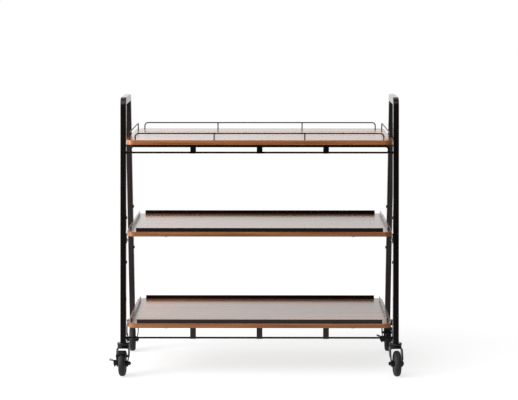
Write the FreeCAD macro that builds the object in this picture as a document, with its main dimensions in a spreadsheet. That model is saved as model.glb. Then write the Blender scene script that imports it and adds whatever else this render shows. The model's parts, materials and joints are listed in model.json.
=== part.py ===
import FreeCAD, Part
import os

import Sketcher
from FreeCAD import Placement, Rotation, Vector

# A room service table: three veneered plywood shelves carried between two end frames,
# each bent from one rectangular steel tube, on four swivel casters of which two have a brake.
#
# Frame: +X along the table, -Y towards whoever faces its long side, +Z up. The origin is on
# the floor, midway between the four swivel axes. Millimetres and degrees.

SIZES = {
    # end frames: one tube each, bent into a push handle at the top, the legs leaning together
    "frames_apart": 923.6,          # between the inner faces of the two frames
    "tube_width": 20.0,             # of the tube, along the table
    "tube_depth": 25.0,             # of the tube, in the plane of the frame
    "tube_wall": 1.5,
    "tube_edge_radius": 2.0,        # outer corners of the tube's section
    "handle_top": 953.0,
    "handle_spread": 204.0,         # between the legs' centre lines at the handle's top
    "handle_bend_radius": 20.0,     # of the tube's centre line
    "foot_inset": 37.5,             # of the legs' feet from the shelves' long edges
    "foot_height": 111.0,           # of the legs' lower ends over the floor

    # shelves
    "shelf_end_gap": 7.8,           # between the shelves' ends and the end frames
    "shelf_depth": 486.0,
    "shelf_thickness": 16.0,
    "shelf_corner_radius": 28.0,
    "shelf_edge_radius": 1.0,
    "top_shelf_base": 801.0,        # undersides over the floor
    "middle_shelf_base": 486.5,
    "bottom_shelf_base": 168.5,

    # gallery rails round the top shelf, bent from round wire
    "wire_radius": 2.1,
    "rail_rise": 22.0,              # of the wire's centre line over the shelf
    "rail_bend_radius": 12.0,
    "rail_foot_depth": 10.0,        # of the feet in the shelf's blind holes
    "rail_inset": 12.5,             # of the long rails from the shelf's long edges
    "rail_end_inset": 9.6,          # of the short rails from the shelf's ends
    "long_rail_margin": 31.8,       # of the long rails' end feet from the shelf's ends
    "short_rail_margin": 36.0,      # of the short rails' feet from its long edges
    "rail_post_offset": 154.0,      # of the long rails' two inner feet from the middle

    # lips that stand on the two lower shelves, flat bars on edge
    "lip_thickness": 5.0,
    "lip_rise": 12.5,
    "lip_corner_radius": 2.0,
    "lip_edge_radius": 1.0,
    "lip_inset": 12.0,              # of the bars' middles from the shelf's edges
    "long_lip_margin": 31.0,        # of the long bars' ends from the shelf's ends
    "short_lip_margin": 36.0,       # of the short bars' ends from its long edges
    "long_lip_screw": 102.0,        # of the screws from the bars' ends
    "short_lip_screw": 97.0,

    # beams under the top and bottom shelves, round rod welded to flat plates
    "rod_radius": 3.25,
    "upper_rod_drop": 16.0,         # of its centre line under the top shelf
    "lower_rod_drop": 37.4,
    "bottom_rod_rise": 16.0,        # of its centre line over the legs' lower ends
    "rod_return": 15.3,             # from the leg to the upper rod's turned-down end
    "rod_bend_radius": 10.5,
    "plate_width": 20.0,
    "plate_thickness": 2.5,
    "plate_bend_radius": 1.5,       # inside the fold under the shelf
    "plate_fold": 18.0,             # of the folded leaf that carries the shelf
    "plate_screw": 9.0,             # of its screw from the plate's face
    "plate_pitch": 230.0,           # between neighbouring plates
    "weld_gap": 0.05,               # between a rod and the plate that it is welded to

    # brackets that hang the middle shelf on the legs
    "bracket_width": 24.0,
    "bracket_thickness": 2.5,
    "bracket_reach": 32.0,          # of the leaf under the shelf
    "bracket_screw": 20.0,          # of its screw from the leg
    "bracket_corner_radius": 4.0,
    "bracket_bend_radius": 1.5,
    "bolt_drop": 23.5,              # of the bracket bolts under the middle shelf
    "bolt_pitch": 76.5,             # to the spare holes above and below

    # fasteners
    "bolt_radius": 3.0,
    "bolt_length": 12.0,
    "bolt_head_radius": 5.2,
    "bolt_head_height": 3.3,
    "screw_radius": 1.8,
    "screw_head_radius": 5.0,
    "screw_head_height": 3.2,
    "screw_bite": 10.0,             # of a screw in the piece that it holds
    "head_round": 2.0,              # of the heads' rims
    "hole_fit": 0.05,               # radial clearance of shanks, feet and pins

    # leg inserts, which take the casters' stems
    "insert_length": 34.0,
    "insert_fit": 0.15,

    # casters: swivel head
    "stem_radius": 5.0,
    "stem_length": 28.0,
    "raceway_radius": 21.5,
    "raceway_height": 8.0,
    "raceway_round": 3.0,
    "washer_radius": 17.0,
    "washer_height": 1.7,
    "running_gap": 0.3,             # between faces that move past each other
    "kingpin_radius": 4.0,
    "rivet_head_radius": 6.5,
    "rivet_head_height": 2.5,
    "crown_radius": 20.5,
    "crown_height": 8.0,

    # casters: fork
    "fork_thickness": 3.0,
    "fork_half_width": 22.0,        # outside, over the wheel
    "fork_shoulder_radius": 7.0,
    "fork_flare_radius": 14.0,
    "fork_nut_room": 3.0,           # of flat plate over the nut, before the legs flare out
    "fork_flare_height": 7.5,
    "fork_back": 19.0,              # of the fork's top behind the swivel axis
    "fork_front": 24.0,             # and before it
    "fork_brow": 90.0,              # height at which the front edge starts to slope
    "fork_heel": 84.0,              # height at which the back edge starts to slope
    "fork_boss_radius": 12.0,       # round the axle
    "trail": 35.0,                  # of the axle from the swivel axis

    # casters: wheel and axle
    "wheel_radius": 44.5,
    "tyre_half_width": 11.5,
    "tread_round": 9.5,             # of the tyre's shoulders
    "rim_radius": 33.0,
    "rim_half_width": 9.5,
    "hub_radius": 9.5,
    "hub_half_length": 16.1,
    "web_half_width": 4.0,
    "axle_radius": 4.0,
    "axle_overhang": 2.5,           # of the thread past the nut
    "nut_radius": 7.2,              # across corners, halved
    "nut_height": 7.5,
    "bolt_hex_height": 4.0,

    # brakes: a bail over the tread with a foot lever on its left
    "bail_thickness": 1.6,
    "bail_inside": 14.1,            # half the width between the bail's cheeks
    "bail_corner_radius": 4.5,      # where the shoe turns down into the cheeks, outside
    "bail_gap": 3.5,                # between the released shoe and the tread
    "bail_angle": 62.0,             # of the shoe over the horizontal, seen from the axle
    "bail_half_length": 9.8,
    "pivot_rise": 24.5,             # of the bail's rivets over the axle
    "pivot_back": 4.0,              # and behind it
    "pivot_eye_radius": 6.0,
    "pivot_radius": 2.5,
    "pivot_head_radius": 4.2,
    "pivot_head_height": 1.2,
    "lever_front": 21.0,            # of the lever's shield before the axle
    "lever_left": 29.0,             # of its outer edge from the wheel's middle plane
    "lever_top": 16.5,              # over the axle
    "lever_corner": 1.5,            # of its outer edge's lower end over the axle
    "lever_tail": 9.5,              # of its point under the axle
    "lever_thickness": 1.8,
    "tab_tilt": 18.0,               # of the tongue, up from the horizontal
    "tab_length": 12.0,             # of the tongue past the shield
    "tab_front": 11.0,              # of the tongue before the shield
    "tab_corner_radius": 3.0,
    "pad_start": 1.5,               # of the plastic sleeve from the shield
    "pad_wall": 1.5,
    "pad_fit": 0.1,

    # how each caster stood when it was seen, about its swivel axis
    "front_left_yaw": -1.5,
    "front_right_yaw": 3.4,
    "rear_left_yaw": 3.0,
    "rear_right_yaw": -1.2,
}

doc = FreeCAD.newDocument("room_service_table")
sheet = doc.addObject("Spreadsheet::Sheet", "Sizes")
for row, (alias, value) in enumerate(SIZES.items(), 1):
    sheet.set(f"A{row}", alias.replace("_", " "))
    sheet.set(f"B{row}", str(value))
    sheet.setAlias(f"B{row}", alias)
doc.recompute()


class Size:
    """A dimension: its value now, and the sheet formula that gives it."""

    def __init__(self, value, formula):
        self.value = float(value)
        self.formula = formula

    @staticmethod
    def of(thing):
        return thing if isinstance(thing, Size) else Size(thing, f"{float(thing):.6f}")

    def join(self, mark, other, value):
        return Size(value, f"({self.formula} {mark} {other.formula})")

    def __add__(self, other):
        other = Size.of(other)
        return self.join("+", other, self.value + other.value)

    def __sub__(self, other):
        other = Size.of(other)
        return self.join("-", other, self.value - other.value)

    def __mul__(self, other):
        other = Size.of(other)
        return self.join("*", other, self.value * other.value)

    def __truediv__(self, other):
        other = Size.of(other)
        return self.join("/", other, self.value / other.value)

    def __radd__(self, other):
        return Size.of(other) + self

    def __rsub__(self, other):
        return Size.of(other) - self

    def __rmul__(self, other):
        return Size.of(other) * self

    def __neg__(self):
        return Size.of(0) - self

    def root(self):
        return Size(self.value ** 0.5, f"sqrt({self.formula})")

    def sine(self):
        turn = Rotation(Vector(0, 0, 1), self.value).multVec(Vector(1, 0, 0))
        return Size(turn.y, f"sin({self.formula} * 1deg)")

    def cosine(self):
        turn = Rotation(Vector(0, 0, 1), self.value).multVec(Vector(1, 0, 0))
        return Size(turn.x, f"cos({self.formula} * 1deg)")


class Sheet:
    """The sheet's cells by name, each as a Size."""

    def __getattr__(self, alias):
        return Size(getattr(sheet, alias), f"Sizes.{alias}")


S = Sheet()


# ---- sketches and features -------------------------------------------------------------

def new_body(name):
    return doc.addObject("PartDesign::Body", name)


def new_sketch(body, role, offset=None):
    """A sketch on one of the body's own origin planes, moved along the plane's normal."""
    plane = next(item for item in body.Origin.OriginFeatures if item.Role == role)
    sketch = body.newObject("Sketcher::SketchObject", body.Name + "_sketch")
    sketch.AttachmentSupport = [(plane, "")]
    sketch.MapMode = "FlatFace"
    if offset is not None:
        sketch.setExpression("AttachmentOffset.Base.z", offset.formula)
    return sketch


def pin_down(sketch, geometry, point, x, y):
    """Hold a point of the sketch at sizes from the sheet."""
    for kind, size in (("DistanceX", Size.of(x)), ("DistanceY", Size.of(y))):
        number = sketch.addConstraint(
            Sketcher.Constraint(kind, -1, 1, geometry, point, size.value))
        sketch.setExpression(f"Constraints[{number}]", size.formula)


def set_radius(sketch, geometry, size):
    number = sketch.addConstraint(Sketcher.Constraint("Radius", geometry, size.value))
    sketch.setExpression(f"Constraints[{number}]", size.formula)


def add_circle(sketch, x, y, radius):
    x, y = Size.of(x), Size.of(y)
    circle = sketch.addGeometry(
        Part.Circle(Vector(x.value, y.value, 0), Vector(0, 0, 1), radius.value), False)
    pin_down(sketch, circle, 3, x, y)
    set_radius(sketch, circle, radius)


def corner_arc(before, corner, after, radius):
    """The arc that rounds a corner: where it starts and ends, itself, and whether it turns left."""
    back = (before - corner).normalize()
    ahead = (after - corner).normalize()
    half = back.getAngle(ahead) / 2
    middle = (back + ahead).normalize()
    distance = radius / Vector(1, 0, 0).cross(
        Rotation(Vector(0, 0, 1), FreeCAD.Units.Quantity(half, "rad").getValueAs("deg").Value)
        .multVec(Vector(1, 0, 0))).Length
    centre = corner + middle * distance
    start = corner + back * back.dot(centre - corner)
    end = corner + ahead * ahead.dot(centre - corner)
    left = (corner - before).cross(after - corner).z > 0
    nearest = centre + (corner - centre).normalize() * radius
    arc = Part.Arc(start, nearest, end) if left else Part.Arc(end, nearest, start)
    return start, end, arc, left


def add_outline(sketch, corners, closed=True):
    """Straight sides through the corners; one given as (x, y, radius) is rounded tangentially."""
    points = [Vector(Size.of(c[0]).value, Size.of(c[1]).value, 0) for c in corners]
    count = len(corners)
    rounds = {}
    for i, corner in enumerate(corners):
        if len(corner) == 3:
            rounds[i] = corner_arc(points[i - 1], points[i], points[(i + 1) % count],
                                   Size.of(corner[2]).value)
    sides = []
    for i in range(count if closed else count - 1):
        j = (i + 1) % count
        start = rounds[i][1] if i in rounds else points[i]
        end = rounds[j][0] if j in rounds else points[j]
        sides.append(sketch.addGeometry(Part.LineSegment(start, end), False))
    for i, corner in enumerate(corners):
        inner = closed or 0 < i < count - 1
        if i in rounds:
            arc = sketch.addGeometry(rounds[i][2], False)
            starts, ends = (1, 2) if rounds[i][3] else (2, 1)
            mark = sketch.addGeometry(Part.Point(points[i]), True)
            sketch.addConstraint(Sketcher.Constraint("Tangent", sides[i - 1], 2, arc, starts))
            sketch.addConstraint(Sketcher.Constraint("Tangent", sides[i], 1, arc, ends))
            sketch.addConstraint(Sketcher.Constraint("PointOnObject", mark, 1, sides[i - 1]))
            sketch.addConstraint(Sketcher.Constraint("PointOnObject", mark, 1, sides[i]))
            set_radius(sketch, arc, Size.of(corner[2]))
            pin_down(sketch, mark, 1, corner[0], corner[1])
        elif inner:
            sketch.addConstraint(Sketcher.Constraint("Coincident", sides[i - 1], 2, sides[i], 1))
            pin_down(sketch, sides[i], 1, corner[0], corner[1])
        elif i == 0:
            pin_down(sketch, sides[0], 1, corner[0], corner[1])
        else:
            pin_down(sketch, sides[-1], 2, corner[0], corner[1])


def add_rectangle(sketch, x_low, y_low, x_high, y_high, radius=None):
    ends = () if radius is None else (radius,)
    add_outline(sketch, [(x_low, y_low, *ends), (x_high, y_low, *ends),
                         (x_high, y_high, *ends), (x_low, y_high, *ends)])


def feature(body, kind, sketch, length=None, both_sides=False, turned=False, through=False):
    """A pad or pocket of a sketch."""
    made = body.newObject("PartDesign::" + kind, body.Name + "_" + kind.lower())
    made.Profile = sketch
    made.Reversed = turned
    if both_sides:
        made.SideType = "Symmetric"
    if through:
        made.Type = "ThroughAll"
    else:
        made.setExpression("Length", length.formula)
    return made


def revolve(body, sketch, axis):
    made = body.newObject("PartDesign::Revolution", body.Name + "_turned")
    made.Profile = sketch
    made.ReferenceAxis = (sketch, [axis])
    made.Angle = 360
    return made


def fillet(body, base, radius, wanted):
    """Round the edges of the base feature for which wanted(edge) is true."""
    doc.recompute()
    names = [f"Edge{i}" for i, edge in enumerate(base.Shape.Edges, 1) if wanted(edge)]
    made = body.newObject("PartDesign::Fillet", body.Name + "_fillet")
    made.Base = (base, names)
    made.setExpression("Radius", radius.formula)
    body.Tip = made
    return made


def place(item, x=0, y=0, z=0, yaw=None):
    """Put a piece in its place, its position and its turn about Z taken from the sheet."""
    for axis, size in (("x", x), ("y", y), ("z", z)):
        if isinstance(size, Size):
            item.setExpression(f"Placement.Base.{axis}", size.formula)
    if yaw is not None:
        item.setExpression("Placement.Rotation.Yaw", f"({Size.of(yaw).formula}) * 1deg")
    return item


def group(name, pieces):
    """Several separate solids under one name."""
    made = doc.addObject("Part::Compound", name)
    made.Links = pieces
    return made


def copy_of(master, turn, x, y, z):
    """Another one of a piece, turned and put at sizes from the sheet."""
    made = doc.addObject("App::Link", master.Name + "_copy")
    made.LinkedObject = master
    made.Placement = Placement(Vector(), turn)
    return place(made, x, y, z)


AS_MADE = Rotation()
TURNED = Rotation(Vector(0, 0, 1), 180)
HEAD_RIGHT = Rotation(Vector(0, 1, 0), -90)
HEAD_LEFT = Rotation(Vector(0, 1, 0), 90)

nodes = []


def node(item, name):
    item.Label = name
    nodes.append(item)
    return item


# ---- sizes that several pieces share ---------------------------------------------------

leg_inside = S.frames_apart / 2
frame_x = leg_inside + S.tube_width / 2
shelf_x = leg_inside - S.shelf_end_gap
shelf_y = S.shelf_depth / 2
foot_y = shelf_y - S.foot_inset
leg_lean = (foot_y - S.handle_spread / 2) / (S.handle_top - S.foot_height)
leg_slant = (leg_lean * leg_lean + 1).root()
bolt_height = S.middle_shelf_base - S.bolt_drop


def leg_y(height):
    """How far a leg's centre line is from the table's middle at this height."""
    return foot_y - leg_lean * (height - S.foot_height)


# ---- end frames ------------------------------------------------------------------------

def add_hoop(sketch, inset):
    """The tube seen along the table, its outline drawn in by the inset on every side."""
    half = (S.tube_depth / 2 - inset) * leg_slant
    top = S.handle_top - inset
    under = S.handle_top - S.tube_depth + inset
    outer_bend = S.handle_bend_radius + S.tube_depth / 2 - inset
    inner_bend = S.handle_bend_radius - S.tube_depth / 2 + inset
    foot = S.foot_height
    add_outline(sketch, [
        (-(leg_y(foot) + half), foot),
        (-(leg_y(foot) - half), foot),
        (-(leg_y(under) - half), under, inner_bend),
        (leg_y(under) - half, under, inner_bend),
        (leg_y(foot) - half, foot),
        (leg_y(foot) + half, foot),
        (leg_y(top) + half, top, outer_bend),
        (-(leg_y(top) + half), top, outer_bend),
    ])


def make_end_frame(name, side):
    body = new_body(name)
    outside = new_sketch(body, "YZ_Plane")
    add_hoop(outside, Size.of(0))
    tube = feature(body, "Pad", outside, S.tube_width, both_sides=True)
    foot, half = S.foot_height.value, S.tube_width.value / 2
    fillet(body, tube, S.tube_edge_radius, lambda edge: edge.BoundBox.ZMax > foot + 1
           and edge.BoundBox.XLength < 0.01 and abs(edge.BoundBox.Center.x) > half - 0.01)
    cavity = new_sketch(body, "YZ_Plane")
    add_hoop(cavity, S.tube_wall)
    feature(body, "Pocket", cavity, S.tube_width - S.tube_wall * 2, both_sides=True)
    holes = new_sketch(body, "YZ_Plane")
    for height in (bolt_height - S.bolt_pitch, bolt_height, bolt_height + S.bolt_pitch):
        for y in (-leg_y(height), leg_y(height)):
            add_circle(holes, y, height, S.bolt_radius + S.hole_fit)
    feature(body, "Pocket", holes, S.tube_width, turned=side < 0)
    return node(place(body, frame_x * side), name)


for side, name in ((-1, "left_end_frame"), (1, "right_end_frame")):
    make_end_frame(name, side)


def make_leg_inserts():
    """A plug in each foot, drawn in to the tube's cavity, with an upright hole for the stem."""
    body = new_body("leg_insert")
    side = new_sketch(body, "YZ_Plane")
    half = (S.tube_depth / 2 - S.tube_wall - S.insert_fit) * leg_slant
    low, high = S.foot_height, S.foot_height + S.insert_length
    add_outline(side, [(-(leg_y(low) + half), low), (-(leg_y(low) - half), low),
                       (-(leg_y(high) - half), high), (-(leg_y(high) + half), high)])
    feature(body, "Pad", side, S.tube_width - (S.tube_wall + S.insert_fit) * 2, both_sides=True)
    bore = new_sketch(body, "XY_Plane", high)
    add_circle(bore, 0, -leg_y(low), S.stem_radius + S.hole_fit)
    feature(body, "Pocket", bore, S.insert_length)
    return node(group("leg_inserts", [copy_of(body, turn, x, 0, 0) for x in (-frame_x, frame_x)
                                      for turn in (AS_MADE, TURNED)]), "leg_inserts")


make_leg_inserts()


# ---- beams -----------------------------------------------------------------------------

upper_rod_z = S.top_shelf_base - S.upper_rod_drop
lower_rod_z = S.top_shelf_base - S.lower_rod_drop
bottom_rod_z = S.foot_height + S.bottom_rod_rise


def make_straight_rod(name, height, y):
    rod = doc.addObject("Part::Cylinder", name)
    rod.setExpression("Radius", S.rod_radius.formula)
    rod.setExpression("Height", S.frames_apart.formula)
    rod.Placement = Placement(Vector(), Rotation(Vector(0, 1, 0), 90))
    return node(place(rod, -leg_inside, y, height), name)


def make_upper_rod(name, y):
    """The upper rod of a top beam: its ends turn down and land on the rod below."""
    body = new_body(name)
    end = leg_inside - S.rod_return
    landing = lower_rod_z + S.rod_radius + S.weld_gap
    path = new_sketch(body, "XZ_Plane")
    add_outline(path, [(-end, landing), (-end, upper_rod_z, S.rod_bend_radius),
                       (end, upper_rod_z, S.rod_bend_radius), (end, landing)], closed=False)
    section = new_sketch(body, "XY_Plane", landing)
    add_circle(section, -end, 0, S.rod_radius)
    pipe = body.newObject("PartDesign::AdditivePipe", name + "_pipe")
    pipe.Profile = section
    pipe.Spine = (path, [])
    return node(place(body, 0, y), name)


def make_plates(name, low, high, y, turn):
    """Flat plates from the lowest rod up to the shelf, folded over to carry it."""
    body = new_body(name + "_plate")
    face = -(S.rod_radius + S.weld_gap)
    front = face - S.plate_thickness
    back = front + S.plate_fold
    outer = S.plate_bend_radius + S.plate_thickness
    side = new_sketch(body, "YZ_Plane")
    add_outline(side, [(front, low), (face, low),
                       (face, high - S.plate_thickness, S.plate_bend_radius),
                       (back, high - S.plate_thickness), (back, high), (front, high, outer)])
    feature(body, "Pad", side, S.plate_width, both_sides=True)
    hole = new_sketch(body, "XY_Plane", high)
    add_circle(hole, 0, front + S.plate_screw, S.screw_radius + S.hole_fit)
    feature(body, "Pocket", hole, S.plate_thickness)
    return node(group(name, [copy_of(body, turn, S.plate_pitch * i, y, 0) for i in (-1, 0, 1)]),
                name)


top_beam_y = leg_y(lower_rod_z)
bottom_beam_y = leg_y(bottom_rod_z)
for end, sign, turn in (("front", -1, AS_MADE), ("rear", 1, TURNED)):
    make_upper_rod(end + "_upper_rod", top_beam_y * sign)
    make_straight_rod(end + "_lower_rod", lower_rod_z, top_beam_y * sign)
    make_plates(end + "_top_plates", lower_rod_z - S.rod_radius, S.top_shelf_base,
                top_beam_y * sign, turn)
    make_straight_rod(end + "_bottom_rod", bottom_rod_z, bottom_beam_y * sign)
    make_plates(end + "_bottom_plates", bottom_rod_z - S.rod_radius, S.bottom_shelf_base,
                bottom_beam_y * sign, turn)


# ---- where the screws go, as (x, y) from the table's middle ------------------------------

def plate_screw_spots(beam):
    inner = beam + S.rod_radius + S.weld_gap + S.plate_thickness - S.plate_screw
    return [(S.plate_pitch * i, inner * sign) for i in (-1, 0, 1) for sign in (-1, 1)]


long_lip_y = shelf_y - S.lip_inset
long_lip_half = shelf_x - S.long_lip_margin
long_lip_screw = long_lip_half - S.long_lip_screw
short_lip_x = shelf_x - S.lip_inset
short_lip_half = shelf_y - S.short_lip_margin
short_lip_screw = short_lip_half - S.short_lip_screw
lip_screw_spots = [(long_lip_screw * i, long_lip_y * j) for i in (-1, 1) for j in (-1, 1)]
lip_screw_spots += [(short_lip_x * i, short_lip_screw * j) for i in (-1, 1) for j in (-1, 1)]
bracket_y = leg_y(bolt_height)
bracket_screw_spots = [((leg_inside - S.bracket_screw) * i, bracket_y * j)
                       for i in (-1, 1) for j in (-1, 1)]
rail_y = shelf_y - S.rail_inset
rail_x = shelf_x - S.rail_end_inset
long_rail_half = shelf_x - S.long_rail_margin
short_rail_half = shelf_y - S.short_rail_margin
rail_feet = [(x, rail_y * j) for j in (-1, 1)
             for x in (-long_rail_half, -S.rail_post_offset, S.rail_post_offset, long_rail_half)]
rail_feet += [(rail_x * i, short_rail_half * j) for i in (-1, 1) for j in (-1, 1)]


# ---- shelves ---------------------------------------------------------------------------

def make_shelf(name, base, pilots, through):
    """Veneered plywood with rounded corners, pilot holes from below, and through holes."""
    body = new_body(name)
    plan = new_sketch(body, "XY_Plane", base)
    add_rectangle(plan, -shelf_x, -shelf_y, shelf_x, shelf_y, S.shelf_corner_radius)
    board = feature(body, "Pad", plan, S.shelf_thickness)
    fillet(body, board, S.shelf_edge_radius, lambda edge: edge.BoundBox.ZLength < 0.01)
    top = base + S.shelf_thickness
    if pilots:
        sketch = new_sketch(body, "XY_Plane", base)
        for x, y in pilots:
            add_circle(sketch, x, y, S.screw_radius + S.hole_fit)
        feature(body, "Pocket", sketch, S.screw_bite, turned=True)
    if through:
        sketch = new_sketch(body, "XY_Plane", top)
        for x, y in through:
            add_circle(sketch, x, y, S.screw_radius + S.hole_fit)
        feature(body, "Pocket", sketch, S.shelf_thickness)
    return node(body, name)


top_shelf = make_shelf("top_shelf", S.top_shelf_base, plate_screw_spots(top_beam_y), [])
make_shelf("middle_shelf", S.middle_shelf_base, bracket_screw_spots, lip_screw_spots)
make_shelf("bottom_shelf", S.bottom_shelf_base, plate_screw_spots(bottom_beam_y),
           lip_screw_spots)

top_face = S.top_shelf_base + S.shelf_thickness
feet = new_sketch(top_shelf, "XY_Plane", top_face)
for x, y in rail_feet:
    add_circle(feet, x, y, S.wire_radius + S.hole_fit)
feature(top_shelf, "Pocket", feet, S.rail_foot_depth)


# ---- gallery rails ---------------------------------------------------------------------

def make_rail(name, half, posts, x, y, yaw):
    """Round wire, bent down at both ends, its feet and any welded posts set into the shelf."""
    body = new_body(name)
    low, high = top_face - S.rail_foot_depth, top_face + S.rail_rise
    path = new_sketch(body, "XZ_Plane")
    add_outline(path, [(-half, low), (-half, high, S.rail_bend_radius),
                       (half, high, S.rail_bend_radius), (half, low)], closed=False)
    section = new_sketch(body, "XY_Plane", low)
    add_circle(section, -half, 0, S.wire_radius)
    pipe = body.newObject("PartDesign::AdditivePipe", name + "_pipe")
    pipe.Profile = section
    pipe.Spine = (path, [])
    if posts:
        uprights = new_sketch(body, "XY_Plane", low)
        for post in posts:
            add_circle(uprights, post, 0, S.wire_radius)
        feature(body, "Pad", uprights, high - low)
    return node(place(body, x, y, 0, yaw), name)


long_posts = [-S.rail_post_offset, S.rail_post_offset]
make_rail("front_rail", long_rail_half, long_posts, 0, -rail_y, None)
make_rail("rear_rail", long_rail_half, long_posts, 0, rail_y, None)
make_rail("left_rail", short_rail_half, [], -rail_x, 0, 90)
make_rail("right_rail", short_rail_half, [], rail_x, 0, 90)


# ---- lips on the lower shelves ---------------------------------------------------------

def make_lip(name, half, screw, x, y, z, yaw):
    """A flat bar on edge with rounded ends and rims, tapped from below for two screws."""
    body = new_body(name)
    plan = new_sketch(body, "XY_Plane")
    add_rectangle(plan, -half, -S.lip_thickness / 2, half, S.lip_thickness / 2,
                  S.lip_corner_radius)
    bar = feature(body, "Pad", plan, S.lip_rise)
    rise = S.lip_rise.value
    fillet(body, bar, S.lip_edge_radius, lambda edge: edge.BoundBox.ZMin > rise - 0.01)
    taps = new_sketch(body, "XY_Plane")
    for spot in (-screw, screw):
        add_circle(taps, spot, 0, S.screw_radius + S.hole_fit)
    feature(body, "Pocket", taps, S.screw_bite, turned=True)
    return node(place(body, x, y, z, yaw), name)


for level, base in (("middle", S.middle_shelf_base), ("bottom", S.bottom_shelf_base)):
    face = base + S.shelf_thickness
    for end, sign in (("front", -1), ("rear", 1)):
        make_lip(f"{level}_{end}_lip", long_lip_half, long_lip_screw, 0, long_lip_y * sign,
                 face, None)
    for end, sign in (("left", -1), ("right", 1)):
        make_lip(f"{level}_{end}_lip", short_lip_half, short_lip_screw, short_lip_x * sign,
                 0, face, 90)


# ---- brackets of the middle shelf ------------------------------------------------------

def make_brackets():
    """An angle at each leg: one leaf bolted to the tube, the other under the shelf."""
    body = new_body("bracket")
    high = S.middle_shelf_base
    low = bolt_height - S.bracket_width / 2
    outer = S.bracket_bend_radius + S.bracket_thickness
    side = new_sketch(body, "XZ_Plane")
    add_outline(side, [(0, low), (S.bracket_thickness, low),
                       (S.bracket_thickness, high - S.bracket_thickness, S.bracket_bend_radius),
                       (S.bracket_reach, high - S.bracket_thickness), (S.bracket_reach, high),
                       (0, high, outer)])
    angle = feature(body, "Pad", side, S.bracket_width, both_sides=True)
    foot, reach = low.value, S.bracket_reach.value
    rounded = fillet(body, angle, S.bracket_width / 2 - S.running_gap,
                     lambda edge: edge.BoundBox.ZMax < foot + 0.01 and edge.BoundBox.YLength < 0.01)
    fillet(body, rounded, S.bracket_corner_radius,
           lambda edge: edge.BoundBox.XMin > reach - 0.01 and edge.BoundBox.YLength < 0.01)
    bolt_hole = new_sketch(body, "YZ_Plane")
    add_circle(bolt_hole, 0, bolt_height, S.bolt_radius + S.hole_fit)
    feature(body, "Pocket", bolt_hole, S.bracket_thickness, turned=True)
    screw_hole = new_sketch(body, "XY_Plane", high)
    add_circle(screw_hole, S.bracket_screw, 0, S.screw_radius + S.hole_fit)
    feature(body, "Pocket", screw_hole, S.bracket_thickness)
    return node(group("shelf_brackets", [
        copy_of(body, turn, leg_inside * sign, bracket_y * j, 0)
        for sign, turn in ((-1, AS_MADE), (1, TURNED)) for j in (-1, 1)]), "shelf_brackets")


make_brackets()


# ---- fasteners -------------------------------------------------------------------------

def make_fastener(name, radius, length, head_radius, head_height):
    """A pan head under its seat at z = 0, with the shank going up."""
    body = new_body(name)
    half = new_sketch(body, "XZ_Plane")
    add_outline(half, [(0, -head_height), (head_radius, -head_height, S.head_round),
                       (head_radius, 0), (radius, 0), (radius, length), (0, length)])
    revolve(body, half, "V_Axis")
    return body


leg_bolt = make_fastener("bolt", S.bolt_radius, S.bolt_length, S.bolt_head_radius,
                         S.bolt_head_height)


def bolts(name, heights, seat):
    """Bolts into the inner faces of all four legs, their heads seated on this much packing."""
    spots = []
    for height in heights:
        for sign, turn in ((-1, HEAD_RIGHT), (1, HEAD_LEFT)):
            for j in (-1, 1):
                spots.append(copy_of(leg_bolt, turn, (leg_inside - seat) * sign,
                                     leg_y(height) * j, height))
    return node(group(name, spots), name)


bolts("bracket_bolts", [bolt_height], S.bracket_thickness)
bolts("spare_hole_bolts", [bolt_height - S.bolt_pitch, bolt_height + S.bolt_pitch], Size.of(0))

plate_screw = make_fastener("plate_screw", S.screw_radius, S.plate_thickness + S.screw_bite,
                            S.screw_head_radius, S.screw_head_height)
bracket_screw = make_fastener("bracket_screw", S.screw_radius,
                              S.bracket_thickness + S.screw_bite, S.screw_head_radius,
                              S.screw_head_height)
lip_screw = make_fastener("lip_screw", S.screw_radius, S.shelf_thickness + S.screw_bite,
                          S.screw_head_radius, S.screw_head_height)
rows = [
    (plate_screw, plate_screw_spots(top_beam_y), S.top_shelf_base - S.plate_thickness),
    (plate_screw, plate_screw_spots(bottom_beam_y), S.bottom_shelf_base - S.plate_thickness),
    (bracket_screw, bracket_screw_spots, S.middle_shelf_base - S.bracket_thickness),
    (lip_screw, lip_screw_spots, S.middle_shelf_base),
    (lip_screw, lip_screw_spots, S.bottom_shelf_base),
]
node(group("shelf_screws", [copy_of(screw, AS_MADE, Size.of(x), Size.of(y), seat)
                            for screw, spots, seat in rows for x, y in spots]), "shelf_screws")


# ---- casters: the fixed half -----------------------------------------------------------

raceway_base = S.foot_height - S.raceway_height
crown_top = raceway_base - S.washer_height - S.running_gap
crown_base = crown_top - S.crown_height
axle_z = S.wheel_radius
fork_inside = S.fork_half_width - S.fork_thickness
hub_seat = S.hub_half_length + S.running_gap
fork_waist = hub_seat + S.fork_thickness
flare_base = axle_z + S.nut_radius + S.fork_nut_room
flare_top = flare_base + S.fork_flare_height


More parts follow.
